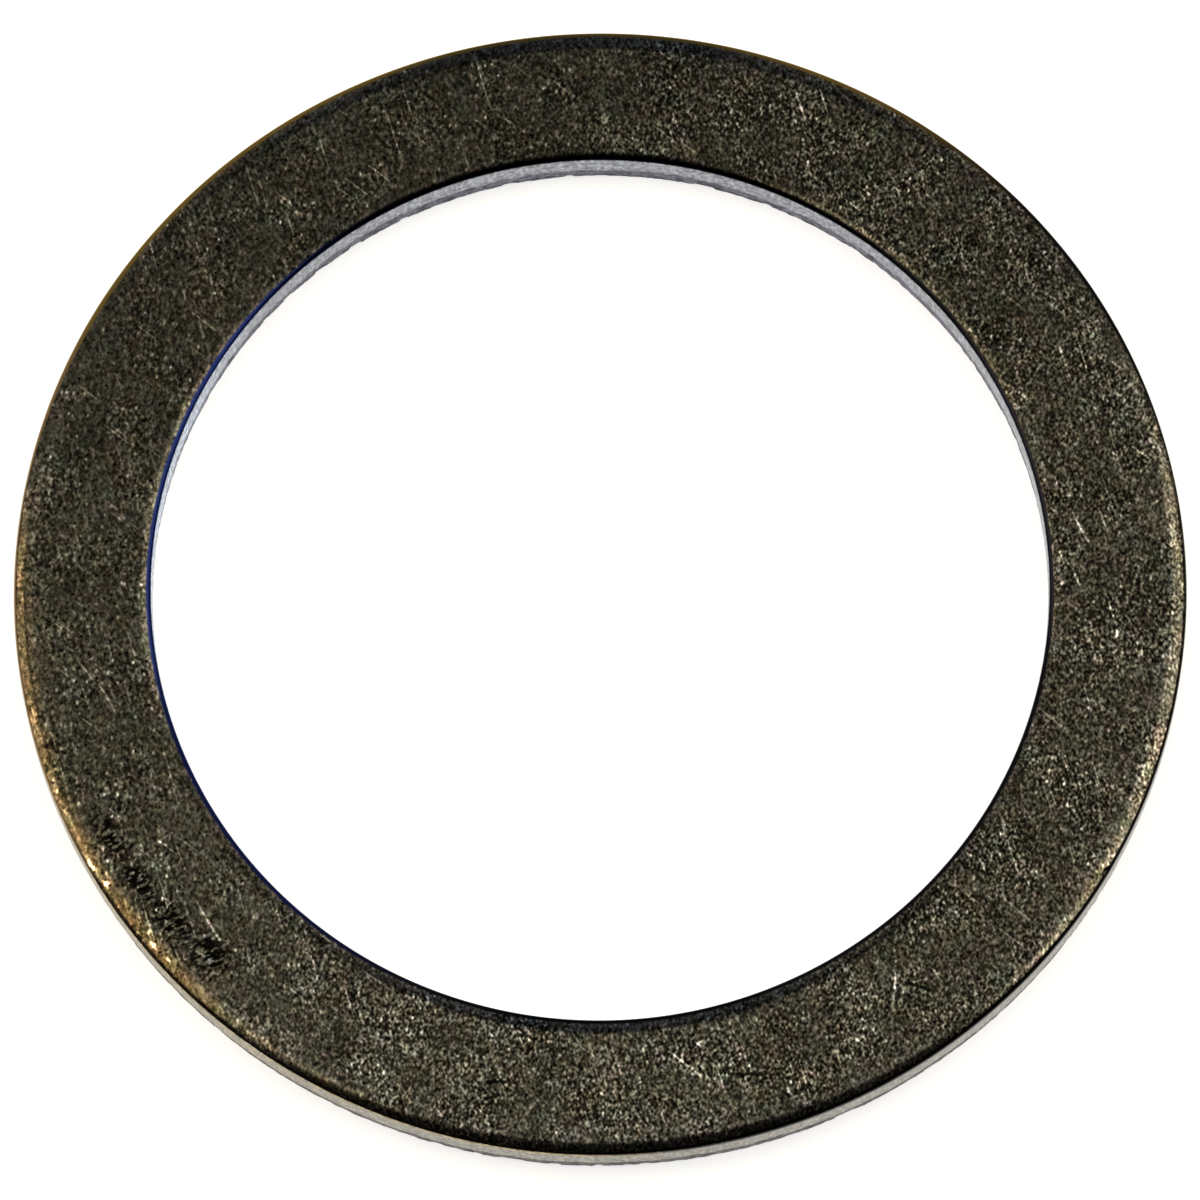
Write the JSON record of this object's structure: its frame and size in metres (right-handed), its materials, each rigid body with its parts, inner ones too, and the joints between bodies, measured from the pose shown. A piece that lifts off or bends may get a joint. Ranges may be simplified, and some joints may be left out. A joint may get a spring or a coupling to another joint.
{
  "type": "drain plug gasket",
  "caption": "Flat metal sealing ring with rolled-over top edges and sheared walls, which seats between a threaded drain plug and its sump.",
  "frame": {"origin": "centre of the ring's bottom face, on the axis of the bore", "axes": "+Z along the bore's axis, from the sharp bottom face towards the face with the rolled-over edges. X and Y lie in the bottom face, and the ring is the same all round."},
  "size_m": [0.029, 0.029, 0.0014],
  "materials": {
    "tumbled_steel": "dark tumbled faces with bright sheared walls"
  },
  "bodies": {
    "root": {"sealing_ring": "tumbled_steel"}
  },
  "joints": []
}
